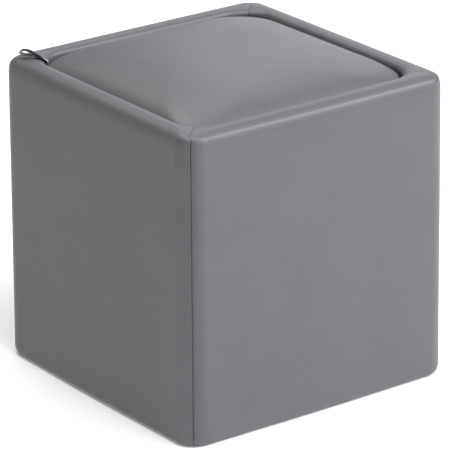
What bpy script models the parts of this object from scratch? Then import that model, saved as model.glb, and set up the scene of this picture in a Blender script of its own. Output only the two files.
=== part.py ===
"""Cube storage pouf: four padded wall panels on a base, a crowned lift-off lid and a ribbon pull.

Units are metres, +Z is up. The origin is the middle of the footprint, on the floor. The front panel
faces -Y, and the ribbon comes out at the corner between the left (-X) and back (+Y) panels.
"""

import math

import bmesh
import bpy
from mathutils import Matrix, Vector

# ---- Driving dimensions -------------------------------------------------------------------------
GAP = 0.0003                # clearance between two pieces that touch

WIDTH = 0.400               # plan, at mid height, both ways
BOX_HEIGHT = 0.397          # floor to the crest of the rim
WALL_THICKNESS = 0.030      # padded panel, outside to inside
CORNER_RADIUS = 0.028       # upright corners, in plan
BATTER = 0.0028             # each side comes in this much from floor to rim
BOW = 0.0022                # each side swells this much between its corners
BOW_TAPER = 0.65            # and this share less at the rim than at the foot

RIM_OUTER_RUN = 0.014       # the roll from the side to the crest
RIM_OUTER_DROP = 0.013
RIM_INNER_RADIUS = 0.006
FOOT_RUN = 0.008            # the roll from the side to the underside
FOOT_RISE = 0.012

SEAM_DEPTH = 0.0011         # the channel that the corner seam pulls into the padding
SEAM_REACH = 0.0045

BASE_THICKNESS = 0.012
REST_WIDTH = 0.015          # strips inside the walls that the lid sits on
REST_HEIGHT = 0.018

LID_CLEARANCE = 0.0015      # all round, to the walls
LID_UNDERSIDE = 0.350
LID_SHOULDER = 0.3885       # where the side of the lid turns into its crown
LID_CROWN = 0.032           # shoulder to the middle of the crown
LID_CROWN_POWER = 3.0
LID_CROWN_SOFTNESS = 0.70
LID_CORNER = 0.045          # plan radius of the corners
LID_EDGE_ROUND = 0.003      # small roll round the underside

RIBBON_WIDTH = 0.010
RIBBON_THICKNESS = 0.001
RIBBON_TAIL = 0.026         # the part that runs down the corner of the lid
RIBBON_TAIL_TOP = 0.0035    # below the shoulder, where it starts to turn outwards
RIBBON_ARCH = 0.007         # radius of that turn
RIBBON_STAND_OFF = 0.0018   # middle of the doubled ribbon to the side of the lid
RIBBON_REACH = 0.0303       # from the tail to the end of the loop, along the diagonal
RIBBON_SWING = 0.0055       # and across it, towards the front
RIBBON_END_HEIGHT = 0.4048  # middle of the ribbon at the end of the loop
RIBBON_HUMP = 0.0030        # it is springy, and arches this much over the edge of the rim
RIBBON_LOOP_LENGTH = 0.0185
RIBBON_LOOP_HALF = 0.0035   # half the width of the open loop
RIBBON_LEAN = math.radians(36)
RIBBON_HUMP_SLOPE = math.radians(12)
LOOP_TAPER = 1.2            # how slim the loop is where it leaves the doubled part

# ---- Resolution ---------------------------------------------------------------------------------
ROLL_STEPS = 6
INNER_ROLL_STEPS = 4
FOOT_STEPS = 5
SIDE_LEVELS = (0.03, 0.07, 0.13, 0.20, 0.27, 0.32, 0.345, 0.358, 0.367, 0.376)
SEAM_STATIONS = (0.0, 0.0012, 0.0026, 0.0045, 0.009, 0.0155)
STRAIGHT_STATIONS = 13
LID_RINGS = 20
LID_CORNER_STEPS = 10
LOOP_STEPS = 36
STEM_STEPS = 10
ARCH_STEPS = 7
TAIL_STEPS = 3
SLOPE_STEP = 0.01           # share of the ribbon's way over which its direction is read

# ---- Colours: base colour, roughness ------------------------------------------------------------
COVER_GREY = ((0.215, 0.222, 0.236, 1.0), 0.48)
BOARD_GREY = ((0.045, 0.046, 0.048, 1.0), 0.85)
RIBBON_BLACK = ((0.012, 0.012, 0.014, 1.0), 0.45)

SIDES = ("front", "right", "back", "left")
INNER_HALF = WIDTH / 2 - WALL_THICKNESS
LID_HALF = INNER_HALF - LID_CLEARANCE
HALF_SQRT = math.sqrt(0.5)


# ---- Helpers ------------------------------------------------------------------------------------
def clear_scene():
    """Remove every object that the scene starts with."""
    for item in list(bpy.data.objects):
        bpy.data.objects.remove(item, do_unlink=True)


def make_material(name, look):
    """A Principled material with a base colour and a roughness."""
    colour, roughness = look
    material = bpy.data.materials.new(name)
    material.use_nodes = True
    shader = material.node_tree.nodes["Principled BSDF"]
    shader.inputs["Base Color"].default_value = colour
    shader.inputs["Roughness"].default_value = roughness
    shader.inputs["Metallic"].default_value = 0.0
    material.diffuse_color = colour
    return material


def add_object(name, mesh, look, sharp_angle=35):
    """Put a mesh in the scene under its node's name, with its own material."""
    mesh.materials.append(make_material(name + "_finish", look))
    mesh.shade_smooth()
    mesh.set_sharp_from_angle(angle=math.radians(sharp_angle))
    item = bpy.data.objects.new(name, mesh)
    bpy.context.scene.collection.objects.link(item)
    return item


def loft(name, rings):
    """A closed solid through rings of points, each ring a closed outline of equal length."""
    form = bmesh.new()
    rows = [[form.verts.new(point) for point in ring] for ring in rings]
    count = len(rows[0])
    for lower, upper in zip(rows, rows[1:]):
        for index in range(count):
            after = (index + 1) % count
            form.faces.new((lower[index], lower[after], upper[after], upper[index]))
    form.faces.new(rows[0])
    form.faces.new(rows[-1])
    bmesh.ops.recalc_face_normals(form, faces=form.faces)
    mesh = bpy.data.meshes.new(name)
    form.to_mesh(mesh)
    form.free()
    return mesh


def smooth_step(value):
    """0 below 0, 1 above 1, and a smooth rise between."""
    value = min(max(value, 0.0), 1.0)
    return value * value * (3 - 2 * value)


def hump(distance, reach):
    """1 at no distance, falling smoothly to 0 at the reach."""
    return 1 - smooth_step(abs(distance) / reach)


# ---- Walls --------------------------------------------------------------------------------------
def quarter_roll(run, rise, steps):
    """Points of a quarter ellipse from (0, 0) up to (run, rise), with its outward direction."""
    points = []
    for step in range(steps + 1):
        angle = step / steps * math.pi / 2
        inset = run * (1 - math.cos(angle))
        height = rise * math.sin(angle)
        points.append((inset, height, Vector((-math.cos(angle), math.sin(angle)))))
    return points


def wall_section():
    """The panel's section, outside to inside: (inset, height, outward direction, face weight)."""
    outward = Vector((-1.0, 0.0))
    section = [(WALL_THICKNESS, 0.0, Vector((0.0, 0.0)), 0.0)]
    for inset, height, direction in reversed(quarter_roll(FOOT_RUN, FOOT_RISE, FOOT_STEPS)):
        level = Vector((direction.x, 0.0))
        section.append((inset, FOOT_RISE - height, level, 1.0))
    side_top = BOX_HEIGHT - RIM_OUTER_DROP
    for height in SIDE_LEVELS:
        section.append((0.0, height, outward, 1.0))
    for inset, height, direction in quarter_roll(RIM_OUTER_RUN, RIM_OUTER_DROP, ROLL_STEPS):
        section.append((inset, side_top + height, direction, 1.0))
    for step in range(INNER_ROLL_STEPS + 1):
        angle = step / INNER_ROLL_STEPS * math.pi / 2
        inset = WALL_THICKNESS - RIM_INNER_RADIUS * (1 - math.sin(angle))
        height = BOX_HEIGHT - RIM_INNER_RADIUS * (1 - math.cos(angle))
        weight = 1 - step / INNER_ROLL_STEPS
        section.append((inset, height, Vector((0.0, 1.0)), weight))
    return section


def wall_stations():
    """Plan stations from corner to corner: (outer x, outer y, distance from the nearest seam)."""
    straight_half = WIDTH / 2 - CORNER_RADIUS
    arc_length = CORNER_RADIUS * math.pi / 4
    left_corner = []
    for distance in SEAM_STATIONS:
        angle = math.pi / 4 + distance / CORNER_RADIUS
        x = -straight_half - CORNER_RADIUS * math.cos(angle)
        y = -straight_half - CORNER_RADIUS * math.sin(angle)
        left_corner.append((x, y, distance))
    middle = []
    for step in range(STRAIGHT_STATIONS):
        x = straight_half * (2 * step / (STRAIGHT_STATIONS - 1) - 1)
        middle.append((x, -WIDTH / 2, arc_length + straight_half - abs(x)))
    right_corner = [(-x, y, distance) for x, y, distance in reversed(left_corner)]
    return left_corner + middle + right_corner


def wall_swell(along, height):
    """How far the padding stands out of the plain side, at a place along it and a height."""
    across = math.cos(math.pi * along / WIDTH) ** 2
    return BOW * across * (1 - BOW_TAPER * smooth_step(height / BOX_HEIGHT))


def wall_ring(outer, inner, seam_distance, section):
    """One section of the panel, standing on the line from the outer to the inner plan point."""
    step = (inner - outer) / WALL_THICKNESS
    channel = SEAM_DEPTH * hump(seam_distance, SEAM_REACH)
    ring = []
    for inset, height, direction, weight in section:
        lean = BATTER * (0.5 - height / BOX_HEIGHT) * max(-direction.x, 0.0) * weight
        swell = wall_swell(outer.x, height) * max(-direction.x, 0.0) * weight
        move = direction * (swell - channel * weight)
        share = inset + move.x - lean
        place = outer + step * share
        ring.append(Vector((place.x, place.y, max(height + move.y, 0.0))))
    return ring


def part_from_mitre(ring, side_sign):
    """Move a ring half a gap away from the mitre plane, into its own panel."""
    shift = Vector((side_sign * HALF_SQRT, -HALF_SQRT, 0.0)) * (GAP / 2)
    return [point + shift for point in ring]


def build_wall(side_index):
    """One padded panel, mitred at both ends and rounded over the rim and the foot."""
    section = wall_section()
    seam_x = WIDTH / 2 - CORNER_RADIUS * (1 - HALF_SQRT)
    rings = []
    for x, y, seam_distance in wall_stations():
        outer = Vector((x, y))
        inner = Vector((x * INNER_HALF / seam_x, -INNER_HALF))
        ring = wall_ring(outer, inner, seam_distance, section)
        if seam_distance == 0.0:
            ring = part_from_mitre(ring, 1.0 if x < 0 else -1.0)
        rings.append(ring)
    turn = Matrix.Rotation(side_index * math.pi / 2, 4, "Z")
    rings = [[turn @ point for point in ring] for ring in rings]
    name = "wall_" + SIDES[side_index]
    return add_object(name, loft(name, rings), COVER_GREY)


# ---- Base and lid rests -------------------------------------------------------------------------
def build_block(name, low, high, look):
    """A plain board between two corners."""
    form = bmesh.new()
    bmesh.ops.create_cube(form, size=1.0)
    for vertex in form.verts:
        share = vertex.co + Vector((0.5, 0.5, 0.5))
        vertex.co = Vector(low[axis] + share[axis] * (high[axis] - low[axis]) for axis in range(3))
    mesh = bpy.data.meshes.new(name)
    form.to_mesh(mesh)
    form.free()
    return add_object(name, mesh, look)


def build_base():
    """The bottom board, let in between the walls and level with their feet."""
    half = INNER_HALF - GAP
    return build_block("base_panel", (-half, -half, 0.0), (half, half, BASE_THICKNESS), BOARD_GREY)


def build_rests():
    """Four strips on the insides of the walls; the lid sits on them."""
    top = LID_UNDERSIDE - GAP
    bottom = top - REST_HEIGHT
    outside = INNER_HALF - GAP
    inside = outside - REST_WIDTH
    side_end = inside - GAP
    spans = {
        "front": ((-outside, -outside), (outside, -inside)),
        "back": ((-outside, inside), (outside, outside)),
        "left": ((-outside, -side_end), (-inside, side_end)),
        "right": ((inside, -side_end), (outside, side_end)),
    }
    for side, (low, high) in spans.items():
        build_block("lid_rest_" + side, (*low, bottom), (*high, top), BOARD_GREY)


# ---- Lid ----------------------------------------------------------------------------------------
def rounded_square(half, radius, steps=LID_CORNER_STEPS):
    """Plan outline of a square with round corners, anticlockwise from the +X side."""
    centre = half - radius
    outline = []
    for corner, (sign_x, sign_y) in enumerate(((1, 1), (-1, 1), (-1, -1), (1, -1))):
        for step in range(steps + 1):
            angle = (corner + step / steps) * math.pi / 2
            x = sign_x * centre + radius * math.cos(angle)
            y = sign_y * centre + radius * math.sin(angle)
            outline.append((x, y))
    return outline


def lid_corner_radius(share):
    """Plan radius of a level line of the crown: round in the middle, squarer at the shoulder."""
    squareness = 1 - LID_CORNER / LID_HALF
    return LID_HALF * share * (1 - squareness * share * share)


def lid_crown_height(share):
    """Height of the level line that lies this share of the way out from the middle."""
    return LID_SHOULDER + LID_CROWN * max(1 - share**LID_CROWN_POWER, 0.0) ** LID_CROWN_SOFTNESS


def build_lid():
    """The lid: a board with its padding and cover, one filled and crowned solid."""
    levels = [
        (LID_HALF - LID_EDGE_ROUND, LID_CORNER - LID_EDGE_ROUND, LID_UNDERSIDE),
        (LID_HALF, LID_CORNER, LID_UNDERSIDE + LID_EDGE_ROUND),
        (LID_HALF, LID_CORNER, LID_SHOULDER),
    ]
    for step in range(1, LID_RINGS):
        share = math.cos(step / LID_RINGS * math.pi / 2)
        levels.append((LID_HALF * share, lid_corner_radius(share), lid_crown_height(share)))
    rings = []
    for half, radius, height in levels:
        rings.append([Vector((x, y, height)) for x, y in rounded_square(half, radius)])
    return add_object("lid_cushion", loft("lid_cushion", rings), COVER_GREY)


# ---- Ribbon pull --------------------------------------------------------------------------------
OUT = Vector((-HALF_SQRT, HALF_SQRT, 0.0))      # from the lid's corner to the rim's
ACROSS = Vector((-HALF_SQRT, -HALF_SQRT, 0.0))  # level, at a right angle to it
UP = Vector((0.0, 0.0, 1.0))


def ribbon_axes(forward, twist_share):
    """Face normal and width of the ribbon: flat on the lid's corner, then turned nearly upright."""
    side = (ACROSS - forward * ACROSS.dot(forward)).normalized()
    upright = forward.cross(side).normalized()
    if upright.z < 0:
        upright.negate()
    turn = smooth_step(twist_share) * (math.pi / 2 - RIBBON_LEAN)
    width = side * math.cos(turn) + upright * math.sin(turn)
    return width.cross(forward).normalized(), width


def ribbon_tail_and_arch():
    """Middle line of the doubled ribbon: up the corner of the lid and over, as (point, forward)."""
    corner = LID_HALF - LID_CORNER * (1 - HALF_SQRT)
    top = Vector((-corner, corner, LID_SHOULDER - RIBBON_TAIL_TOP)) + OUT * RIBBON_STAND_OFF
    line = []
    for step in range(TAIL_STEPS):
        drop = RIBBON_TAIL * (1 - step / TAIL_STEPS)
        line.append((top - UP * drop, UP))
    slope = math.atan2(RIBBON_END_HEIGHT - LID_SHOULDER, RIBBON_REACH) + RIBBON_HUMP_SLOPE
    for step in range(ARCH_STEPS + 1):
        angle = math.pi / 2 - step / ARCH_STEPS * (math.pi / 2 - slope)
        place = top + OUT * (RIBBON_ARCH * (1 - math.sin(angle)))
        place = place + UP * (RIBBON_ARCH * math.cos(angle))
        line.append((place, OUT * math.cos(angle) + UP * math.sin(angle)))
    end = top + OUT * RIBBON_REACH + ACROSS * RIBBON_SWING
    end.z = RIBBON_END_HEIGHT
    return line, end


def stem_point(start, end, share):
    """A place on the middle line between the arch and the end of the loop."""
    return start.lerp(end, share) + UP * (RIBBON_HUMP * math.sin(math.pi * share))


def ribbon_path():
    """(point, width) along the single ribbon, out on its far side and back on its near side."""
    tail, end = ribbon_tail_and_arch()
    start = tail[-1][0]
    half = (RIBBON_THICKNESS + GAP) / 2
    loop_start = 1 - RIBBON_LOOP_LENGTH / (end - start).length
    centre = [(point, forward, 0.0) for point, forward in tail[:-1]]
    for step in range(STEM_STEPS + 1):
        share = loop_start * step / STEM_STEPS
        place = stem_point(start, end, share)
        forward = (stem_point(start, end, share + SLOPE_STEP) - place).normalized()
        if step == 0:
            forward = tail[-1][1]
        centre.append((place, forward, step / STEM_STEPS))
    far_side = []
    near_side = []
    for point, forward, twist_share in centre:
        normal, width = ribbon_axes(forward, twist_share)
        far_side.append((point - normal * half, width))
        near_side.append((point + normal * half, width))
    loop = []
    for step in range(1, LOOP_STEPS):
        angle = step / LOOP_STEPS * 2 * math.pi
        along = (1 - math.cos(angle)) / 2
        bulge = math.sin(angle) * math.sin(angle / 2) ** LOOP_TAPER * RIBBON_LOOP_HALF
        pinch = math.copysign(half * (1 - along), math.sin(angle))
        share = loop_start + (1 - loop_start) * along
        normal, width = ribbon_axes((end - start).normalized(), 1.0)
        point = stem_point(start, end, share) - normal * (bulge + pinch)
        loop.append((point, width))
    return far_side + loop + list(reversed(near_side))


def build_ribbon():
    """The pull: one ribbon, doubled at the lid's corner and open in a loop over the rim."""
    path = ribbon_path()
    rings = []
    for index, (point, width) in enumerate(path):
        before = path[max(index - 1, 0)][0]
        after = path[min(index + 1, len(path) - 1)][0]
        face = (after - before).normalized().cross(width).normalized()
        across = width * (RIBBON_WIDTH / 2)
        through = face * (RIBBON_THICKNESS / 2)
        corners = ((-1, -1), (1, -1), (1, 1), (-1, 1))
        rings.append([point + across * a + through * b for a, b in corners])
    return add_object("pull_ribbon", loft("pull_ribbon", rings), RIBBON_BLACK)


def main():
    """Build every piece."""
    clear_scene()
    for side_index in range(len(SIDES)):
        build_wall(side_index)
    build_base()
    build_rests()
    build_lid()
    build_ribbon()


main()
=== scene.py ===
"""Looks of a cube storage pouf: padded and sewn walls, a crowned lid and a looped ribbon pull.

Everything is in metres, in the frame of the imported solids. The origin is the middle of the footprint on
the floor, +Z is up, and the front wall faces -Y. The walls and the lid are covered in fine-grained faux
leather, with a sewn seam down each corner and one row of stitches beside it.
"""

import logging
import math
from collections.abc import Callable
from dataclasses import dataclass, field
from enum import Enum

import bmesh
import bpy
import numpy as np
from bpy.types import ID, Material, Node, NodeSocket, NodeTree, Object
from mathutils import Matrix, Vector
from mathutils.bvhtree import BVHTree


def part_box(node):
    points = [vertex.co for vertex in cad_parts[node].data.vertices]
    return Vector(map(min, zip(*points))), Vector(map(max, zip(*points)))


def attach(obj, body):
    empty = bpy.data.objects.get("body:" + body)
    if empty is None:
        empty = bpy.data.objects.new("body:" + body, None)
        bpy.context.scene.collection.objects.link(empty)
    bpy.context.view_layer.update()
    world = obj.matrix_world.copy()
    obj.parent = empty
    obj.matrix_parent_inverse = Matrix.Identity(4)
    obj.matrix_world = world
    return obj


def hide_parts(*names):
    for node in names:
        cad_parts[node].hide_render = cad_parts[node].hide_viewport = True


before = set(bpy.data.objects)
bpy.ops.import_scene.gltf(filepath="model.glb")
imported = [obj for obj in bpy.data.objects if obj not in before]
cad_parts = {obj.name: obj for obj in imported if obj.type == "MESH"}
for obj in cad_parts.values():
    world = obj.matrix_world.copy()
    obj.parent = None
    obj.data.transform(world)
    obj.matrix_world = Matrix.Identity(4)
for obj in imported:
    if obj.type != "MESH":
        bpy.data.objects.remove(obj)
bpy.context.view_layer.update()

LOG = logging.getLogger("pouf")
Colour = tuple[float, float, float, float]
Pairs = tuple[tuple[float, float], ...]
HALF_SQRT = math.sqrt(0.5)
UP = Vector((0.0, 0.0, 1.0))
OUT = Vector((-HALF_SQRT, HALF_SQRT, 0.0))      # from the middle to the ribbon's corner
ACROSS = Vector((-HALF_SQRT, -HALF_SQRT, 0.0))  # level, at a right angle to it


# ---- Node trees
def math_method(kind: str, swapped: bool = False) -> Callable[..., "Value"]:
    """Make a method of Value that adds a Math node.

    Args:
        kind: What the node works out.
        swapped: Whether the value itself comes last.

    Returns:
        The method.
    """
    def method(self: "Value", *others: "Value | float") -> "Value":
        """Add the node and return what it gives."""
        return self.graph.math(kind, *((*others, self) if swapped else (self, *others)))

    return method


class Value:
    """What a node gives, such as a number or a colour. Python operators on a number add Math nodes."""

    __add__ = math_method("ADD")
    __radd__ = math_method("ADD", swapped=True)
    __sub__ = math_method("SUBTRACT")
    __rsub__ = math_method("SUBTRACT", swapped=True)
    __mul__ = math_method("MULTIPLY")
    __rmul__ = math_method("MULTIPLY", swapped=True)
    __truediv__ = math_method("DIVIDE")
    __abs__ = math_method("ABSOLUTE")
    sine = math_method("SINE")
    exponent = math_method("EXPONENT")

    def __init__(self, graph: "NodeGraph", socket: NodeSocket) -> None:
        """Wrap a socket of a tree."""
        self.graph = graph
        self.socket = socket

    def __neg__(self) -> "Value":
        """The number with its sign changed."""
        return self * -1.0

    def ridge(self, centre: "Value | float", reach: float) -> "Value":
        """A soft bell: 1 at the centre, and 1/e at the reach from it."""
        away = (self - centre) / reach
        return (-(away * away)).exponent()

    def rise(self, low: float, high: float) -> "Value":
        """A smooth step: 0 up to low, 1 from high."""
        inputs = {0: self, 1: low, 2: high}
        return self.graph.value("ShaderNodeMapRange", inputs, interpolation_type="SMOOTHSTEP")


class NodeGraph:
    """A node tree that is built by calls and by expressions on Value."""

    def __init__(self, tree: NodeTree) -> None:
        """Hold the tree that the nodes go into."""
        self.tree = tree

    def node(self, kind: str, inputs: dict | None = None, **settings: str) -> Node:
        """Add one node.

        Args:
            kind: The node's type.
            inputs: Values or links for its sockets, by name or number.
            **settings: Its options, set first.

        Returns:
            The node.
        """
        made = self.tree.nodes.new(kind)
        for name, setting in settings.items():
            setattr(made, name, setting)
        for key, source in (inputs or {}).items():
            if isinstance(source, Value):
                self.tree.links.new(source.socket, made.inputs[key])
            else:
                made.inputs[key].default_value = source
        return made

    def value(self, kind: str, inputs: dict | None = None, output: int | str = 0, **settings: str) -> Value:
        """Add one node and return what one of its outputs gives."""
        return Value(self, self.node(kind, inputs, **settings).outputs[output])

    def math(self, operation: str, *operands: Value | float) -> Value:
        """Add a Math node and return what it gives."""
        return self.value("ShaderNodeMath", dict(enumerate(operands)), operation=operation)

    def noise(self, places: Value, size: float, detail: float) -> Value:
        """Soft noise around 0.5, with features of about the given size."""
        return self.value("ShaderNodeTexNoise", {"Vector": places, "Scale": 1 / size, "Detail": detail})


class FinishGraph(NodeGraph):
    """A material's tree, with its Principled shader."""

    def __init__(self, name: str, roughness: float) -> None:
        """Start a material.

        Args:
            name: The material's name.
            roughness: Roughness, where nothing varies it.
        """
        self.material = bpy.data.materials.new(name)
        self.material.use_nodes = True
        super().__init__(self.material.node_tree)
        self.shader = self.tree.nodes["Principled BSDF"]
        self.shader.inputs["Roughness"].default_value = roughness

    def feed(self, name: str, source: Value) -> None:
        """Link something that varies into one of the shader's sockets."""
        self.tree.links.new(source.socket, self.shader.inputs[name])

    def places(self, kind: str = "Object") -> Value:
        """Texture coordinates of the piece."""
        return self.value("ShaderNodeTexCoord", None, kind)

    def attribute(self, name: str) -> Value:
        """A number stored on the piece's points."""
        return self.value("ShaderNodeAttribute", None, "Fac", attribute_name=name)

    def blend(self, factor: Value, first: Value | Colour, second: Colour) -> Value:
        """Mix two colours: the first where the factor is 0, the second where it is 1."""
        return self.value("ShaderNodeMix", {0: factor, 6: first, 7: second}, 2, data_type="RGBA")

    def emboss(self, height: Value, distance: float, strength: float) -> None:
        """Bump the surface by a relief, whose height of 1 is a distance in metres."""
        inputs = {"Height": height, "Distance": distance, "Strength": strength}
        self.feed("Normal", self.value("ShaderNodeBump", inputs))


class ShapeGraph(NodeGraph):
    """A Geometry Nodes tree with named inputs, used as a modifier and then made a plain mesh."""

    SOCKETS = {float: "NodeSocketFloat", int: "NodeSocketInt", Material: "NodeSocketMaterial"}

    def __init__(self, name: str, inputs: dict[str, type]) -> None:
        """Start a tree.

        Args:
            name: The tree's name.
            inputs: Name and type of each input after the geometry.
        """
        super().__init__(bpy.data.node_groups.new(name, "GeometryNodeTree"))
        face = self.tree.interface
        face.new_socket("Geometry", in_out="INPUT", socket_type="NodeSocketGeometry")
        face.new_socket("Geometry", in_out="OUTPUT", socket_type="NodeSocketGeometry")
        for title, kind in inputs.items():
            face.new_socket(title, in_out="INPUT", socket_type=self.SOCKETS[kind])
        self.start = self.node("NodeGroupInput")

    def given(self, title: str) -> Value:
        """One of the tree's inputs."""
        return Value(self, self.start.outputs[title])

    def stored(self, name: str, kind: str = "FLOAT") -> Value:
        """A number or vector stored on the points."""
        return self.value("GeometryNodeInputNamedAttribute", {"Name": name}, data_type=kind)

    def close(self, geometry: Value) -> None:
        """End the tree in Realize Instances and Set Material.

        Args:
            geometry: What the tree has made.
        """
        real = self.value("GeometryNodeRealizeInstances", {"Geometry": geometry})
        inputs = {"Geometry": real, "Material": self.given("Material")}
        self.node("NodeGroupOutput", {"Geometry": self.value("GeometryNodeSetMaterial", inputs)})

    def run(self, item: Object, values: dict[str, object]) -> None:
        """Put the tree on an object, turn the result into the object's own mesh, and smooth it.

        Args:
            item: The object whose mesh goes in.
            values: A value for each named input.
        """
        modifier = item.modifiers.new(self.tree.name, "NODES")
        modifier.node_group = self.tree
        for socket in self.tree.interface.items_tree:
            if socket.in_out == "INPUT" and socket.name in values:
                modifier[socket.identifier] = values[socket.name]
        settle(item)
        item.data.shade_smooth()


# ---- Mesh helpers
def settle(item: Object) -> Object:
    """Replace an object's mesh by what its modifiers make of it, and remove them.

    Args:
        item: The object.

    Returns:
        The same object.
    """
    bpy.context.view_layer.update()
    graph = bpy.context.evaluated_depsgraph_get()
    shown = item.evaluated_get(graph)
    mesh = bpy.data.meshes.new_from_object(shown, preserve_all_data_layers=True, depsgraph=graph)
    before = item.data
    item.modifiers.clear()
    item.data = mesh
    bpy.data.meshes.remove(before)
    return item


def in_scene(name: str, data: ID) -> Object:
    """Make an object of a mesh, a light or a camera, and put it in the scene."""
    item = bpy.data.objects.new(name, data)
    bpy.context.scene.collection.objects.link(item)
    return item


def new_piece(name: str, points: np.ndarray | list, faces: list, edges: tuple = ()) -> Object:
    """Make an object from points and faces, or from points and edges.

    Args:
        name: The piece's name.
        points: Its points.
        faces: Its faces, as lists of point numbers.
        edges: Its edges, where it has no faces.

    Returns:
        The object, at the origin and in the scene.
    """
    mesh = bpy.data.meshes.new(name)
    mesh.from_pydata([tuple(map(float, point)) for point in points], edges, faces)
    return in_scene(name, mesh)


def grid_faces(rows: int, columns: int, closed: bool) -> list[tuple[int, ...]]:
    """Faces of a grid of points.

    Args:
        rows: How many rows it has.
        columns: How many points are in a row.
        closed: Whether each row is a ring.

    Returns:
        The point numbers of each face.
    """
    faces = []
    for start in range(0, (rows - 1) * columns, columns):
        for index in range(columns if closed else columns - 1):
            first, second = start + index, start + (index + 1) % columns
            faces.append((first, second, columns + second, columns + first))
    return faces


def face_outwards(item: Object) -> None:
    """Point the faces of a closed mesh outwards.

    Args:
        item: The object with the mesh.
    """
    form = bmesh.new()
    form.from_mesh(item.data)
    bmesh.ops.recalc_face_normals(form, faces=form.faces)
    form.to_mesh(item.data)
    form.free()


def store(item: Object, **layers: np.ndarray) -> None:
    """Store numbers or vectors on the points of a mesh.

    Args:
        item: The object with the mesh.
        **layers: One number or one row for each point, under the name that it gets.
    """
    for name, values in layers.items():
        vector = values.ndim == 2
        layer = item.data.attributes.new(name, "FLOAT_VECTOR" if vector else "FLOAT", "POINT")
        layer.data.foreach_set("vector" if vector else "value", values.astype(np.float32).ravel())


def points_of(item: Object) -> np.ndarray:
    """The points of a mesh, one row each."""
    flat = np.zeros(len(item.data.vertices) * 3, np.float32)
    item.data.vertices.foreach_get("co", flat)
    return flat.reshape(-1, 3).astype(float)


def move_points(item: Object, places: np.ndarray) -> None:
    """Move the points of a mesh to new places."""
    item.data.vertices.foreach_set("co", places.astype(np.float32).ravel())


def run_along(points: np.ndarray) -> np.ndarray:
    """Length along a line up to each of its points."""
    return np.concatenate([[0.0], np.cumsum(np.linalg.norm(np.diff(points, axis=0), axis=1))])


def smooth_rise(value: np.ndarray | float, low: float, high: float) -> np.ndarray | float:
    """0 up to low, 1 from high, and a smooth rise between."""
    share = np.clip((value - low) / (high - low), 0.0, 1.0)
    return share * share * (3 - 2 * share)


def dress(item: Object, material: Material) -> None:
    """Give a piece one material."""
    item.data.materials.clear()
    item.data.materials.append(material)


def log_points(item: Object) -> None:
    """Report a finished piece."""
    LOG.info("%s: %d points", item.name, len(item.data.vertices))


def heading(turn: float, tilt: float) -> Vector:
    """Direction at a turn about the stool, from its front, and a tilt above level, both in radians."""
    return Vector((math.sin(turn) * math.cos(tilt), -math.cos(turn) * math.cos(tilt), math.sin(tilt)))


# ---- Finishes
@dataclass(frozen=True)
class GrainedCover:
    """Fine-grained faux leather, satin, with painted shade along each seam's stitch groove and along its
    mitre creases.
    """

    colour: Colour = (0.115, 0.1165, 0.120, 1.0)
    # Colour of the painted shade in the stitch groove and along the mitre creases.
    painted_shade_colour: Colour = (0.058, 0.059, 0.061, 1.0)
    roughness: float = 0.46
    grain_size: float = 0.0011
    grain_depth: float = 0.00005
    grain_strength: float = 0.5
    mottle_size: float = 0.07
    mottle_shade: float = 0.96
    wear_size: float = 0.012
    wear_swing: float = 0.04
    groove_row: float = 0.0020
    groove_reach: float = 0.0006
    groove_shade: float = 0.35
    crease_reach: float = 0.0004
    crease_shade: float = 0.3

    def build(self) -> Material:
        """Make the material."""
        graph = FinishGraph("grained_cover", self.roughness)
        places = graph.places()
        mottle = graph.noise(places, self.mottle_size, 3.0)
        darker = tuple(self.mottle_shade * part for part in self.colour[:3]) + (1.0,)
        ground = graph.blend(mottle.rise(0.35, 0.65), darker, self.colour)
        seam = graph.attribute("seam")
        sewn = graph.attribute("sewn")
        # Painted shade: darker along the stitch groove beside each seam, and along the mitre creases on the
        # rim and inside.
        groove = seam.ridge(self.groove_row, self.groove_reach) * sewn * self.groove_shade
        crease = abs(seam).ridge(0.0, self.crease_reach) * (1 - sewn) * self.crease_shade
        graph.feed("Base Color", graph.blend(groove + crease, ground, self.painted_shade_colour))
        inputs = {"Vector": places, "Scale": 1 / self.grain_size}
        cells = graph.value("ShaderNodeTexVoronoi", inputs, "Distance", feature="F1")
        pores = graph.noise(places, self.grain_size * 0.6, 2.0)
        grain = cells * 0.7 + pores * 0.5
        wear = graph.noise(places, self.wear_size, 2.0)
        graph.feed("Roughness", self.roughness - self.wear_swing + 2 * self.wear_swing * wear)
        graph.emboss(grain, self.grain_depth, self.grain_strength)
        return graph.material


@dataclass(frozen=True)
class WovenRibbon:
    """Black woven ribbon with ribs across it and a pale line down its middle."""

    black: Colour = (0.006, 0.006, 0.007, 1.0)
    pale: Colour = (0.85, 0.85, 0.87, 1.0)
    line_half: float = 0.125
    line_blur: float = 0.03
    rib: float = 0.0006
    rib_depth: float = 0.00008
    rib_strength: float = 0.7
    roughness: float = 0.62

    def build(self) -> Material:
        """Make the material. It reads the ribbon's own UV map: across, and along in metres."""
        graph = FinishGraph("woven_ribbon", self.roughness)
        split = graph.node("ShaderNodeSeparateXYZ", {0: graph.places("UV")})
        across, along = (Value(graph, split.outputs[part]) for part in (0, 1))
        edge = abs(across - 0.5).rise(self.line_half - self.line_blur, self.line_half + self.line_blur)
        graph.feed("Base Color", graph.blend(edge, self.pale, self.black))
        ribs = (along * (2 * math.pi / self.rib)).sine() * 0.5 + 0.5
        graph.emboss(ribs, self.rib_depth, self.rib_strength)
        return graph.material


@dataclass(frozen=True)
class SewingThread:
    """Twisted thread, darker than the cover."""

    colour: Colour = (0.014, 0.014, 0.015, 1.0)
    light_colour: Colour = (0.021, 0.021, 0.0225, 1.0)
    twist_size: float = 0.0006
    roughness: float = 0.7

    def build(self) -> Material:
        """Make the material."""
        graph = FinishGraph("sewing_thread", self.roughness)
        twist = graph.noise(graph.places(), self.twist_size, 1.0)
        graph.feed("Base Color", graph.blend(twist, self.colour, self.light_colour))
        return graph.material


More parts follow.
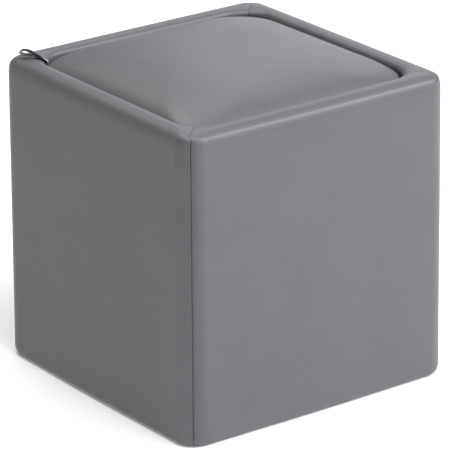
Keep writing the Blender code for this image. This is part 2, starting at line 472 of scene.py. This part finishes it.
@dataclass(frozen=True)
class WrappedBoard:
    """Board wrapped in thin dark felt, for what is inside the box and under it."""

    colour: Colour = (0.040, 0.041, 0.044, 1.0)
    light_colour: Colour = (0.075, 0.076, 0.080, 1.0)
    fibre_size: float = 0.0016
    fibre_depth: float = 0.0002
    fibre_strength: float = 0.6
    roughness: float = 0.9

    def build(self) -> Material:
        """Make the material."""
        graph = FinishGraph("wrapped_board", self.roughness)
        fibres = graph.noise(graph.places(), self.fibre_size, 6.0)
        graph.feed("Base Color", graph.blend(fibres.rise(0.35, 0.7), self.colour, self.light_colour))
        graph.emboss(fibres, self.fibre_depth, self.fibre_strength)
        return graph.material


@dataclass(frozen=True)
class PaleStudio:
    """The plain white of a photo studio's floor or backdrop, which may glow a little."""

    name: str
    glow: float
    colour: Colour = (0.94, 0.94, 0.94, 1.0)
    roughness: float = 0.9
    gloss: float = 0.1

    def build(self) -> Material:
        """Make the material."""
        graph = FinishGraph(self.name, self.roughness)
        inputs = graph.shader.inputs
        inputs["Base Color"].default_value = self.colour
        inputs["Emission Color"].default_value = self.colour
        inputs["Emission Strength"].default_value = self.glow
        inputs["Specular IOR Level"].default_value = self.gloss
        return graph.material


# ---- Walls
class Side(Enum):
    """The box's sides, numbered by quarter turns from the front."""

    FRONT = 0
    RIGHT = 1
    BACK = 2
    LEFT = 3

    @property
    def node(self) -> str:
        """Name of the side's node."""
        return "wall_" + self.name.lower()

    def turned(self, places: np.ndarray) -> np.ndarray:
        """Points of the front wall, turned to this side."""
        angle = self.value * math.pi / 2
        turn = Matrix.Rotation(angle, 3, "Z")
        return places @ np.array(turn).T


@dataclass
class PaddedWalls:
    """The four padded walls: each a panel from corner to corner, over the rim and down inside."""

    width: float = 0.400
    thickness: float = 0.0308
    corner_radius: float = 0.028
    rim_corner: float = 0.010
    corner_taper: float = 2.0
    inner_corner: float = 0.040
    tight_corner: float = 0.0008
    round_drop: float = 0.006
    batter: float = 0.0028
    bow: float = 0.0022
    bow_taper: float = 0.65
    crest_rise: float = 0.0017
    rim_lean: tuple[float, float] = (0.00356, 0.00483)
    outer_arcs: Pairs = (
        (16, 0.0300), (26, 0.0240), (36, 0.0310), (48, 0.0086),
        (60, 0.0105), (75, 0.0200), (82, 0.0260), (90, 0.0300),
    )
    inner_arcs: Pairs = ((3, 0.030), (20, 0.020), (90, 0.0070))
    arc_step: float = 0.0008
    under_step: float = 0.0055
    under_rows: int = 4
    foot_run: float = 0.008
    foot_rise: float = 0.012
    foot_steps: int = 8
    row_pitch: float = 0.0016
    inner_rows: int = 60
    seam_rows: Pairs = ((0.006, 0.00035), (0.012, 0.0008), (0.025, 0.0018), (0.200, 0.006))
    crease_reach: float = 0.0006
    channel_reach: float = 0.0050
    welt_row: float = 0.0001
    welt_reach: float = 0.0010
    welt_foot: float = 0.3
    welt_run: tuple[float, float] = (0.06, 0.30)
    fold_row: float = 0.0028
    fold_reach: float = 0.0008
    stitch_row: float = 0.0020
    stitch_pitch: float = 0.0049
    stitch_tilts: tuple[float, float] = (0.5, 1.1)
    stitch_least: float = 0.6
    stitch_scales: tuple[float, float] = (0.92, 1.08)
    handle_share: float = 0.6
    groove_reach: float = 0.0007
    pucker_reach: float = 0.0021
    pleat_row: float = 0.006
    pleat_reach: float = 0.006
    pleat_pitch: float = 0.0075
    pleat_drop: float = 0.016
    pleat_band: float = 0.012
    uneven_size: float = 0.11
    height: float = field(init=False)
    rest_level: float = field(init=False)
    rim: np.ndarray = field(init=False)
    roll_low: float = field(init=False)
    inner_low: float = field(init=False)

    def __post_init__(self) -> None:
        """Read the levels that the frame sets."""
        self.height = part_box(Side.FRONT.node)[1].z
        self.rest_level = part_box("lid_cushion")[0].z
        self.rim = self.rim_rows()
        self.roll_low = float(self.rim[0, 1])
        self.inner_low = float(self.rim[-1, 1])

    def section(self) -> np.ndarray:
        """The panel's section as a closed ring of rows.

        Returns:
            One row for each point: inset from the outside, height, the two parts of its outward
            direction (out and up), share of relief, share of stitching.
        """
        thick = self.thickness
        rows = [(thick - step * self.under_step, 0.0, 0.0, -1.0, 0.0, 0.0) for step in range(self.under_rows)]
        for angle in np.linspace(math.pi / 2, 0.0, self.foot_steps):
            inset = self.foot_run * (1 - math.cos(angle))
            level = self.foot_rise * (1 - math.sin(angle))
            share = smooth_rise(math.cos(angle), 0.1, 0.9)
            rows.append((inset, level, math.cos(angle), 0.0, share, share))
        count = int((self.roll_low - self.foot_rise) / self.row_pitch)
        for level in np.linspace(self.foot_rise, self.roll_low, count)[1:-1]:
            rows.append((0.0, level, 1.0, 0.0, 1.0, 1.0))
        for inset, level, tilt in self.rim:
            sewn = (1 - smooth_rise(math.pi / 2 - tilt, *self.stitch_tilts)) if tilt > 0 else 0.0
            rows.append((inset, level, math.sin(tilt), math.cos(tilt), 1.0, sewn))
        for level in np.linspace(self.inner_low, 0.0, self.inner_rows)[1:-1]:
            share = smooth_rise(level, self.rest_level, self.inner_low)
            rows.append((thick, level, -1.0, 0.0, share, 0.0))
        return np.array(rows, float)

    def rim_rows(self) -> np.ndarray:
        """The rim's section: rolled up from the side, domed over the top, and rolled down inside.

        Returns:
            One row for each point: inset, height and outward tilt from the vertical, in radians.
        """
        apex = self.height + self.crest_rise
        outer = self.arc_chain(self.outer_arcs)
        inner = self.arc_chain(self.inner_arcs)
        crest_inset = self.thickness - inner[-1, 0]
        outer[:, 0] = crest_inset * (1 - outer[:, 0] / outer[-1, 0])
        outer[:, 1] = apex - outer[:, 1]
        inner[:, 0] += crest_inset
        inner[:, 1] = apex - inner[:, 1]
        inner[:, 2] *= -1
        return np.concatenate([outer[::-1], inner[1:]])

    def arc_chain(self, arcs: Pairs) -> np.ndarray:
        """Run down from the crest along arcs that follow on from each other.

        Args:
            arcs: For each, the tilt in degrees at which it ends, and its radius.

        Returns:
            One row for each point: distance out from the crest, drop below it, and tilt in radians.
        """
        rows = [(0.0, 0.0, 0.0)]
        for end, radius in arcs:
            out, drop, start = rows[-1]
            finish = math.radians(end)
            count = max(3, math.ceil((finish - start) * radius / self.arc_step))
            for tilt in np.linspace(start, finish, count)[1:]:
                run = radius * (math.sin(tilt) - math.sin(start))
                rows.append((out + run, drop + radius * (math.cos(start) - math.cos(tilt)), tilt))
        return np.array(rows)

    def stations(self) -> np.ndarray:
        """Places along the front wall, from seam to seam.

        Returns:
            One row for each: how far round the left corner's arc it is, in radians from the straight
            part, the same for the right corner, and its share of the way along the straight part.
        """
        distances = [0.0]
        for reach, step in self.seam_rows:
            while distances[-1] < reach - step / 2:
                distances.append(distances[-1] + step)
        arc = self.corner_radius * math.pi / 4
        straight = self.width - 2 * self.corner_radius
        half = [distance for distance in distances if distance < arc + straight / 2]
        rows = []
        for distance in half:
            bend = max((arc - distance) / self.corner_radius, 0.0)
            along = max(distance - arc, 0.0) / straight
            rows.append((bend, 0.0, along))
        middle = [(0.0, 0.0, 0.5)]
        mirrored = [(0.0, bend, 1 - along) for bend, _, along in reversed(rows)]
        return np.array(rows + middle + mirrored, float)

    def plan(self, stations: np.ndarray, radius: float, half: float) -> np.ndarray:
        """Plan points of a rounded square's front side at the stations.

        Args:
            stations: Rows from stations().
            radius: The square's corner radius.
            half: Half its width.

        Returns:
            An x and y for each station.
        """
        straight = half - radius
        left, right, along = stations.T
        x = straight * (2 * along - 1) - radius * np.sin(left) + radius * np.sin(right)
        y = -straight - radius * np.cos(left + right)
        return np.stack([x, y], 1)

    def panel_points(self) -> tuple[np.ndarray, np.ndarray, np.ndarray]:
        """Points, outward directions and seam distances of the front panel, before its relief.

        Returns:
            Arrays of stations by section points: places, directions, and distance to the nearest mitre,
            which is negative near the right-hand one.
        """
        section = self.section()
        stations = self.stations()
        inset, level, out, up, relief, _ = section.T
        straight = self.plan(stations, self.corner_radius, self.width / 2)
        bend = stations[:, 1] - stations[:, 0]
        facing = np.stack([np.sin(bend), -np.cos(bend)], 1)
        places = np.zeros((len(stations), len(section), 3))
        inner_half = self.width / 2 - self.thickness
        for index, (depth, height) in enumerate(zip(inset, level)):
            tighter = self.corner_taper * depth if height > self.roll_low else 0.0
            radius = max(self.rim_corner, self.corner_radius - tighter)
            outer = self.plan(stations, radius, self.width / 2)
            roundness = smooth_rise(height, self.rest_level, self.inner_low - self.round_drop)
            radius = self.tight_corner + (self.inner_corner - self.tight_corner) * roundness
            inner = self.plan(stations, radius, inner_half)
            places[:, index, :2] = outer + (inner - outer) * (depth / self.thickness)
            places[:, index, 2] = height
        across = np.cos(np.pi * straight[:, 0] / self.width) ** 2
        taper = 1 - self.bow_taper * smooth_rise(level / self.height, 0.0, 1.0)
        lean = self.batter * (0.5 - level / self.height)
        push = (self.bow * across[:, None] * taper + lean) * np.clip(out, 0.0, 1.0) * (relief > 0)
        places[:, :, :2] += facing[:, None, :] * push[:, :, None]
        directions = np.zeros_like(places)
        directions[:, :, :2] = facing[:, None, :] * out[:, None]
        directions[:, :, 2] = up
        to_left = (places[:, :, 0] - places[:, :, 1]) * HALF_SQRT
        to_right = (-places[:, :, 0] - places[:, :, 1]) * HALF_SQRT
        return places, directions, np.where(to_left < to_right, to_left, -to_right)

    def relief_tree(self) -> ShapeGraph:
        """The tree that presses seams, stitch rows and small unevenness into a panel."""
        sizes = ("Crease", "Channel", "Welt", "Groove", "Fold", "Row", "Pitch", "Pucker", "Pleat", "Uneven")
        graph = ShapeGraph("sewn_relief", {name: float for name in sizes} | {"Material": Material})
        crease, channel, welt, groove, fold, row, pitch, pucker, pleat, uneven = map(graph.given, sizes)
        signed, relief, sewn, roll, run = map(graph.stored, ("seam", "relief", "sewn", "roll", "run"))
        seam = abs(signed)
        height = -(crease * seam.ridge(0.0, self.crease_reach) * (1 - sewn) * relief)
        height = height - channel * seam.ridge(0.0, self.channel_reach) * relief
        fuller = welt * run.rise(*self.welt_run) + welt * self.welt_foot
        height = height + fuller * signed.ridge(self.welt_row, self.welt_reach) * sewn
        height = height - groove * signed.ridge(row, self.groove_reach) * sewn
        height = height - fold * signed.ridge(-self.fold_row, self.fold_reach) * sewn
        beat = (run * (2 * math.pi) / pitch).sine()
        height = height + pucker * beat * signed.ridge(row, self.pucker_reach) * sewn
        pleats = (run * (2 * math.pi / self.pleat_pitch)).sine()
        height = height + pleat * pleats * seam.ridge(self.pleat_row, self.pleat_reach) * roll
        places = graph.value("GeometryNodeInputPosition")
        height = height + uneven * (graph.noise(places, self.uneven_size, 1.0) - 0.5) * relief
        inputs = {0: graph.stored("outward", "FLOAT_VECTOR"), "Scale": height}
        offset = graph.value("ShaderNodeVectorMath", inputs, operation="SCALE")
        inputs = {"Geometry": graph.given("Geometry"), "Offset": offset}
        graph.close(graph.value("GeometryNodeSetPosition", inputs))
        return graph

    def build_panel(self, side: Side, relief: ShapeGraph, cover: Material) -> Object:
        """One wall's padded cover, from mitre to mitre.

        Args:
            side: Which wall.
            relief: The tree from relief_tree().
            cover: Its finish.

        Returns:
            The panel.
        """
        places, directions, seam = self.panel_points()
        count, ring = seam.shape
        faces = grid_faces(count, ring, closed=True)
        faces.append(tuple(range(ring)))
        faces.append(tuple((count - 1) * ring + index for index in reversed(range(ring))))
        turned = side.turned(places.reshape(-1, 3))
        higher = smooth_rise(turned[:, 2], self.rest_level, self.height)
        turned[:, 2] += turned[:, :2] @ np.array(self.rim_lean) * higher
        item = new_piece(side.node + "_cover", turned, faces)
        face_outwards(item)
        section = self.section()
        level = places[:, :, 2]
        across = smooth_rise(section[:, 2], 0.05, 0.5) * smooth_rise(section[:, 3], -0.2, 0.05)
        roll = np.exp(-(((level - self.height + self.pleat_drop) / self.pleat_band) ** 2)) * across
        run = np.tile(run_along(section[:, :2]), count)
        relieved, sewn = np.tile(section[:, 4:6].T, count)
        store(item, seam=seam.ravel(), outward=side.turned(directions.reshape(-1, 3)))
        store(item, relief=relieved, sewn=sewn, roll=roll.ravel(), run=run)
        values = {
            "Crease": 0.0004, "Channel": 0.0005, "Welt": 0.00045, "Groove": 0.00055, "Fold": 0.00025,
            "Row": self.stitch_row, "Pitch": self.stitch_pitch, "Pucker": 0.00012, "Pleat": 0.00015,
            "Uneven": 0.0005, "Material": cover,
        }
        relief.run(item, values)
        return item

    def stitch_lines(self, panels: list[Object]) -> Object:
        """The lines that the stitches follow: one beside each corner seam, on the panel to its right.

        Args:
            panels: The finished panels, in the order of the sides.

        Returns:
            An object of edges, with the outward direction stored on its points.
        """
        section = self.section()
        count = len(self.stations())
        half = count // 2
        sewn = np.flatnonzero((section[:, 5] > self.stitch_least) & (section[:, 1] > self.stitch_pitch))
        _, directions, seam = self.panel_points()
        points, outward, edges = [], [], []
        for side, panel in zip(Side, panels):
            grid = points_of(panel).reshape(count, len(section), 3)[:half]
            facing = side.turned(directions.reshape(-1, 3)).reshape(count, len(section), 3)[:half]
            for order, row in enumerate(sewn):
                reach = seam[:half, row]
                place = [np.interp(self.stitch_row, reach, grid[:, row, axis]) for axis in range(3)]
                out = [np.interp(self.stitch_row, reach, facing[:, row, axis]) for axis in range(3)]
                if order:
                    edges.append((len(points) - 1, len(points)))
                points.append(place)
                outward.append(out)
        item = new_piece("corner_topstitching", points, [], edges)
        store(item, outward=np.array(outward))
        return item

    def stitch_tree(self) -> ShapeGraph:
        """The tree that lays a bowed stitch along each pitch of its lines."""
        inputs = {"Pitch": float, "Length": float, "Thread": float, "Bow": float, "Seed": int}
        graph = ShapeGraph("topstitches", inputs | {"Material": Material})
        curve = graph.value("GeometryNodeMeshToCurve", {"Mesh": graph.given("Geometry")})
        inputs = {"Curve": curve, "Length": graph.given("Pitch")}
        spaced = graph.value("GeometryNodeResampleCurve", inputs, mode="LENGTH")
        half, bow = graph.given("Length") * 0.5, graph.given("Bow")
        handle = half * self.handle_share
        inputs = {"Resolution": 6}
        names = ("Start", "Start Handle", "End Handle", "End")
        for name, x, z in zip(names, (-half, -handle, handle, half), (-bow, bow, bow, -bow)):
            inputs[name] = graph.value("ShaderNodeCombineXYZ", {0: x, 2: z})
        line = graph.value("GeometryNodeCurvePrimitiveBezierSegment", inputs)
        inputs = {"Resolution": 6, "Radius": graph.given("Thread")}
        round_section = graph.value("GeometryNodeCurvePrimitiveCircle", inputs)
        inputs = {"Curve": line, "Profile Curve": round_section, "Fill Caps": True}
        stitch = graph.value("GeometryNodeCurveToMesh", inputs)
        inputs = {"Vector": graph.value("GeometryNodeInputTangent")}
        along = graph.value("FunctionNodeAlignRotationToVector", inputs, axis="X")
        inputs = {"Rotation": along, "Vector": graph.stored("outward", "FLOAT_VECTOR")}
        upright = graph.value("FunctionNodeAlignRotationToVector", inputs, axis="Z", pivot_axis="X")
        least, most = self.stitch_scales
        inputs = {2: least, 3: most, "Seed": graph.given("Seed")}
        scale = graph.value("FunctionNodeRandomValue", inputs, 1, data_type="FLOAT")
        inputs = {"Points": spaced, "Instance": stitch, "Rotation": upright, "Scale": scale}
        graph.close(graph.value("GeometryNodeInstanceOnPoints", inputs))
        return graph

    def build(self, cover: Material, thread: Material) -> None:
        """Make the four panels and their topstitching, and put them on the box.

        Args:
            cover: The panels' finish.
            thread: The stitches' finish.
        """
        relief = self.relief_tree()
        panels = []
        for side in Side:
            panel = self.build_panel(side, relief, cover)
            panels.append(panel)
            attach(panel, "box")
            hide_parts(side.node)
            log_points(panel)
        stitching = self.stitch_lines(panels)
        values = {"Pitch": self.stitch_pitch, "Length": 0.0029, "Thread": 0.00060, "Bow": 0.00030, "Seed": 5}
        self.stitch_tree().run(stitching, values | {"Material": thread})
        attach(stitching, "box")
        log_points(stitching)


# ---- Lid
@dataclass
class CrownedLid:
    """The padded lid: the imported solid's form, inflated as cloth and held to its board."""

    voxel: float = 0.004
    crown_drop: float = 0.0035
    side_growth: float = 0.0004
    swell_cap: float = 0.0036
    held_band: float = 0.002
    ease_rounds: int = 40
    slack: float = 0.0008
    fullness: float = 0.0014
    full_inset: float = 0.013
    full_reach: float = 0.0104
    full_rise: float = 0.004
    pressure: float = 4.0
    last_frame: int = 20
    shoulder: float = 0.3885
    half: float = 0.1685
    corner: float = 0.045

    def lowered_form(self) -> Object:
        """A closed copy of the lid's solid in even quads, with a lower crown.

        Returns:
            The copy.
        """
        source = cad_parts["lid_cushion"]
        form = bmesh.new()
        form.from_mesh(source.data)
        bmesh.ops.remove_doubles(form, verts=form.verts, dist=1e-5)
        high = max(vertex.co.z for vertex in form.verts)
        half = max(vertex.co.x for vertex in form.verts)
        for vertex in form.verts:
            rise = max(vertex.co.z - self.shoulder, 0.0) / (high - self.shoulder)
            vertex.co.z -= self.crown_drop * rise ** 0.5
            vertex.co.xy *= 1 + self.side_growth / half
        mesh = bpy.data.meshes.new("lid_cover")
        form.to_mesh(mesh)
        form.free()
        item = in_scene("lid_cover", mesh)
        remesh = item.modifiers.new("even_quads", "REMESH")
        remesh.mode = "VOXEL"
        remesh.voxel_size = self.voxel
        return settle(item)

    def inflate(self, item: Object) -> None:
        """Run the cloth simulation and keep its result, within the cap.

        Args:
            item: The lid's form, which swells.
        """
        start = points_of(item)
        group = item.vertex_groups.new(name="held")
        held = np.flatnonzero(start[:, 2] < self.shoulder - self.held_band)
        group.add([int(index) for index in held], 1.0, "REPLACE")
        cloth = item.modifiers.new("stuffing", "CLOTH")
        settings = {
            "quality": 6, "mass": 0.4, "tension_stiffness": 20, "compression_stiffness": 20,
            "bending_stiffness": 2, "use_pressure": True, "uniform_pressure_force": self.pressure,
            "vertex_group_mass": group.name,
        }
        for name, setting in settings.items():
            setattr(cloth.settings, name, setting)
        cloth.settings.effector_weights.gravity = 0
        cloth.point_cache.frame_start = 1
        cloth.point_cache.frame_end = self.last_frame
        for step in range(1, self.last_frame + 1):
            bpy.context.scene.frame_set(step)
        settle(item)
        bpy.context.scene.frame_set(1)
        move = points_of(item) - start
        size = np.linalg.norm(move, axis=1, keepdims=True)
        move *= self.swell_cap * np.tanh(size / self.swell_cap) / np.maximum(size, 1e-9)
        LOG.info("lid: swelled by %.1f to %.1f mm", size.min() * 1000, size.max() * 1000)
        move_points(item, start + self.eased(item, move))

    def trim(self, item: Object) -> None:
        """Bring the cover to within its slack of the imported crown, fuller near its edge, without wrinkles.

        Args:
            item: The lid's form.
        """
        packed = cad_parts["lid_cushion"].data
        corners = [corner.co for corner in packed.vertices]
        crown = BVHTree.FromPolygons(corners, [tuple(face.vertices) for face in packed.polygons])
        places = points_of(item)
        change = np.zeros_like(places)
        for index, place in enumerate(places):
            near, normal, _, _ = crown.find_nearest(Vector(place))
            proud = (Vector(place) - near).dot(normal)
            beside = (self.edge_distance(place) - self.full_inset) / self.full_reach
            full = self.fullness * math.exp(-beside ** 2)
            full *= smooth_rise(place[2], self.shoulder - self.held_band, self.shoulder + self.full_rise)
            change[index] = normal * (self.slack * math.tanh(proud / self.slack) + full - proud)
        change = self.eased(item, change)
        move_points(item, places + change)
        LOG.info("lid: trimmed by up to %.1f mm", np.linalg.norm(change, axis=1).max() * 1000)

    def edge_distance(self, place: np.ndarray) -> float:
        """How far a place lies inside the lid's edge, in plan."""
        past = np.abs(place[:2]) - (self.half - self.corner)
        return self.corner - float(np.linalg.norm(np.maximum(past, 0.0))) - min(float(past.max()), 0.0)

    def eased(self, item: Object, move: np.ndarray) -> np.ndarray:
        """Even out how far neighbouring points moved, as a taut cover does.

        Args:
            item: The cover.
            move: How far each of its points moved.

        Returns:
            The evened moves.
        """
        ends = np.zeros(len(item.data.edges) * 2, np.int32)
        item.data.edges.foreach_get("vertices", ends)
        first, second = ends.reshape(-1, 2).T
        count = np.bincount(first, minlength=len(move)) + np.bincount(second, minlength=len(move))
        for _ in range(self.ease_rounds):
            total = np.zeros_like(move)
            np.add.at(total, first, move[second])
            np.add.at(total, second, move[first])
            move = 0.5 * move + 0.5 * total / count[:, None]
        return move

    def build(self, cover: Material) -> None:
        """Make the lid's cover and put it on the lid.

        Args:
            cover: Its finish.
        """
        item = self.lowered_form()
        self.inflate(item)
        self.trim(item)
        finer = item.modifiers.new("finer", "SUBSURF")
        finer.levels = finer.render_levels = 1
        settle(item)
        item.data.shade_smooth()
        dress(item, cover)
        far = np.ones(len(item.data.vertices))
        store(item, seam=far, sewn=0 * far)
        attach(item, "lid")
        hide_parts("lid_cushion")
        log_points(item)


# ---- Ribbon pull
@dataclass
class RibbonPull:
    """One ribbon, sewn to the lid's corner, doubled over the gap and open in a loop above the rim."""

    width: float = 0.010
    thickness: float = 0.0007
    gap: float = 0.0013
    lid_corner: float = CrownedLid.corner
    shoulder: float = CrownedLid.shoulder
    tail: float = 0.026
    tail_rise: float = 0.0044
    tail_turn: float = math.radians(4)
    arch: float = 0.0034
    stand_off: float = 0.0008
    reach: float = 0.0324
    swing: float = 0.0105
    end_height: float = 0.4082
    hump: float = 0.0021
    hump_slope: float = math.radians(32)
    twist_run: float = 0.016
    lean: float = math.radians(52)
    loop_length: float = 0.0185
    loop_half: float = 0.0031
    loop_taper: float = 0.5
    loop_steps: int = 72
    stem_steps: int = 20
    arch_steps: int = 12
    tail_steps: int = 8
    across_steps: int = 8
    look_ahead: float = 0.01
    edge_angle: float = math.radians(50)

    def axes(self, forward: Vector, share: float) -> tuple[Vector, Vector]:
        """Face normal and width direction: flat on the lid's corner, then leaning over the rim.

        Args:
            forward: The way that the ribbon runs.
            share: How far the twist has gone, 0 to 1.

        Returns:
            The two directions.
        """
        twist = smooth_rise(share, 0.0, 1.0)
        round_corner = ACROSS * math.cos(self.tail_turn) - OUT * math.sin(self.tail_turn)
        level = round_corner.lerp(ACROSS, twist)
        side = (level - forward * level.dot(forward)).normalized()
        upright = forward.cross(side).normalized()
        if upright.z < 0:
            upright.negate()
        turn = twist * (math.pi / 2 - self.lean)
        width = side * math.cos(turn) + upright * math.sin(turn)
        return width.cross(forward).normalized(), width

    def stem(self, start: Vector, end: Vector, share: float) -> Vector:
        """A place on the middle line between the arch and the end of the loop."""
        return start.lerp(end, share) + UP * (self.hump * math.sin(math.pi * share))

    def path(self) -> list[tuple[Vector, Vector]]:
        """The ribbon's route: out on its far side, round the loop and back on its near side.

        Returns:
            A place on the middle line and a width direction for each step.
        """
        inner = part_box("lid_cushion")[1].x - self.lid_corner
        level = Vector((-inner, inner, self.shoulder + self.tail_rise))
        outward = OUT * math.cos(self.tail_turn) + ACROSS * math.sin(self.tail_turn)
        top = level + outward * (self.lid_corner + self.stand_off)
        slope = math.atan2(self.end_height - self.shoulder, self.reach) + self.hump_slope
        centre = []
        for step in range(self.tail_steps):
            centre.append((top - UP * (self.tail * (1 - step / self.tail_steps)), UP, 0.0))
        for angle in np.linspace(math.pi / 2, slope, self.arch_steps):
            place = top + outward * (self.arch * (1 - math.sin(angle))) + UP * (self.arch * math.cos(angle))
            forward = outward * math.cos(angle) + UP * math.sin(angle)
            centre.append((place, forward, self.arch * (math.pi / 2 - angle) / self.twist_run))
        start, _, turned = centre[-1]
        end = level + OUT * (self.lid_corner + self.stand_off + self.reach) + ACROSS * self.swing
        end.z = self.end_height
        length = (end - start).length
        loop_start = 1 - self.loop_length / length
        for share in np.linspace(0.0, 1.0, self.stem_steps + 1)[1:]:
            place = self.stem(start, end, loop_start * share)
            ahead = self.stem(start, end, loop_start * share + self.look_ahead)
            twist = turned + share * loop_start * length / self.twist_run
            centre.append((place, (ahead - place).normalized(), twist))
        half = self.gap / 2
        far_side, near_side = [], []
        for place, forward, share in centre:
            normal, width = self.axes(forward, share)
            far_side.append((place - normal * half, width))
            near_side.append((place + normal * half, width))
        normal, width = self.axes((end - start).normalized(), 1.0)
        loop = []
        for angle in np.linspace(0.0, 2 * math.pi, self.loop_steps + 1)[1:-1]:
            along = (1 - math.cos(angle)) / 2
            bulge = math.sin(angle) * math.sin(angle / 2) ** self.loop_taper * self.loop_half
            pinch = math.copysign(half * (1 - along), math.sin(angle))
            place = self.stem(start, end, loop_start + (1 - loop_start) * along)
            loop.append((place - normal * (bulge + pinch), width))
        return far_side + loop + list(reversed(near_side))

    def build(self, woven: Material) -> None:
        """Make the ribbon and put it on the lid.

        Args:
            woven: Its finish.
        """
        path = self.path()
        middle = np.array([place for place, _ in path])
        widths = np.array([width for _, width in path])
        run = run_along(middle)
        shares = np.linspace(-0.5, 0.5, self.across_steps + 1)
        spread = widths[:, None, :] * (shares[None, :, None] * self.width)
        points = (middle[:, None, :] + spread).reshape(-1, 3)
        item = new_piece("ribbon_pull", points, grid_faces(len(path), len(shares), closed=False))
        layer = item.data.uv_layers.new(name="ribbon")
        for loop in item.data.loops:
            step, index = divmod(loop.vertex_index, len(shares))
            layer.data[loop.index].uv = (shares[index] + 0.5, run[step])
        body = item.modifiers.new("body", "SOLIDIFY")
        body.thickness = self.thickness
        body.offset = 0.0
        settle(item)
        item.data.shade_smooth()
        item.data.set_sharp_from_angle(angle=self.edge_angle)
        dress(item, woven)
        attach(item, "lid")
        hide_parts("pull_ribbon")
        LOG.info("%s: %.1f mm long, %d points", item.name, run[-1] * 1000, len(item.data.vertices))


# ---- Inside and studio
@dataclass
class InnerBoards:
    """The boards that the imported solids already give: the base, and the strips that carry the lid."""

    base: str = "base_panel"
    strip: str = "lid_rest_"

    def build(self, felt: Material) -> None:
        """Give each board its finish.

        Args:
            felt: The finish.
        """
        for name in [self.base] + [self.strip + side.name.lower() for side in Side]:
            dress(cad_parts[name], felt)
            LOG.info("%s: finish only", name)


@dataclass
class SoftLight:
    """One large soft light of the studio."""

    name: str
    azimuth: float
    elevation: float
    watts: float
    colour: tuple[float, float, float]
    distance: float = 4.0
    size: float = 1.8

    def build(self, aim: Vector) -> None:
        """Hang the light.

        Args:
            aim: The place that it faces.
        """
        way = heading(math.radians(self.azimuth), math.radians(self.elevation))
        lamp = bpy.data.lights.new(self.name, "AREA")
        lamp.shape = "DISK"
        lamp.size = self.size
        lamp.energy = self.watts
        lamp.color = self.colour
        item = in_scene(self.name, lamp)
        item.location = aim + way * self.distance
        item.rotation_euler = way.to_track_quat("Z", "Y").to_euler()


@dataclass
class Studio:
    """Floor, camera and lights."""

    azimuth: float = -0.6350
    elevation: float = 0.36245
    roll: float = -0.00835
    distance: float = 4.3760
    focal_pixels: float = 3480.0
    frame_pixels: float = 450.0
    sensor: float = 36.0
    sight: float = 200.0
    aim_right: float = 0.0012
    aim_height: float = 0.1855
    floor_half: float = 8.0
    floor_glow: float = 0.18
    backdrop_height: float = 3.0
    backdrop_sides: int = 96
    backdrop_glow: float = 0.0
    surround: Colour = (1.0, 1.0, 1.0, 1.0)
    surround_strength: float = 0.02
    light_aim: float = 0.2
    lights: tuple[SoftLight, ...] = (
        SoftLight("front_high_light", 0.0, 60.0, 62.0, (0.99, 1.00, 1.03)),
        SoftLight("high_left_light", 315.0, 75.0, 68.0, (1.00, 1.00, 1.01)),
        SoftLight("front_right_light", 45.0, 35.0, 128.0, (0.96, 0.99, 1.07)),
        SoftLight("back_high_light", 180.0, 60.0, 52.0, (1.00, 1.00, 0.99)),
        SoftLight("back_right_light", 135.0, 35.0, 17.0, (0.97, 0.99, 1.06)),
        SoftLight("back_low_light", 135.0, 10.0, 6.7, (0.97, 0.99, 1.06)),
    )

    def build_camera(self) -> None:
        """The camera, where the photo was taken from."""
        back = heading(self.azimuth, self.elevation)
        right = UP.cross(back).normalized()
        up = back.cross(right)
        level_right = right * math.cos(self.roll) + up * math.sin(self.roll)
        level_up = up * math.cos(self.roll) - right * math.sin(self.roll)
        aim = right * self.aim_right + UP * self.aim_height
        lens = bpy.data.cameras.new("photo_camera")
        lens.sensor_width = self.sensor
        lens.lens = self.focal_pixels / self.frame_pixels * self.sensor
        lens.clip_end = self.sight
        item = in_scene("photo_camera", lens)
        turned = Matrix((level_right, level_up, back)).transposed().to_4x4()
        item.matrix_world = Matrix.Translation(aim + back * self.distance) @ turned
        bpy.context.scene.camera = item

    def build_floor(self) -> None:
        """The pale floor that the stool stands on, and a low round backdrop far behind and about it."""
        half = self.floor_half
        corners = [(-half, -half, 0.0), (half, -half, 0.0), (half, half, 0.0), (-half, half, 0.0)]
        floor = new_piece("studio_floor", corners, [(0, 1, 2, 3)])
        dress(floor, PaleStudio("pale_floor", self.floor_glow).build())
        count = self.backdrop_sides
        turns = np.linspace(0.0, 2 * math.pi, count, endpoint=False)
        levels = (self.backdrop_height, 0.0)
        rings = [(half * math.cos(turn), half * math.sin(turn), level) for level in levels for turn in turns]
        backdrop = new_piece("studio_backdrop", rings, grid_faces(len(levels), count, closed=True))
        dress(backdrop, PaleStudio("pale_backdrop", self.backdrop_glow).build())

    def build(self) -> None:
        """Set up the whole studio."""
        self.build_camera()
        self.build_floor()
        world = bpy.data.worlds.new("studio")
        world.use_nodes = True
        ground = world.node_tree.nodes["Background"]
        ground.inputs["Color"].default_value = self.surround
        ground.inputs["Strength"].default_value = self.surround_strength
        bpy.context.scene.world = world
        for light in self.lights:
            light.build(UP * self.light_aim)
        bpy.context.scene.view_settings.view_transform = "Standard"
        LOG.info("studio: %d lights", len(self.lights))


def main() -> None:
    """Build the pouf and its studio."""
    logging.basicConfig(level=logging.INFO, format="%(name)s: %(message)s")
    Studio().build()
    cover = GrainedCover().build()
    PaddedWalls().build(cover, SewingThread().build())
    CrownedLid().build(cover)
    RibbonPull().build(WovenRibbon().build())
    InnerBoards().build(WrappedBoard().build())


if __name__ == "__main__":
    main()
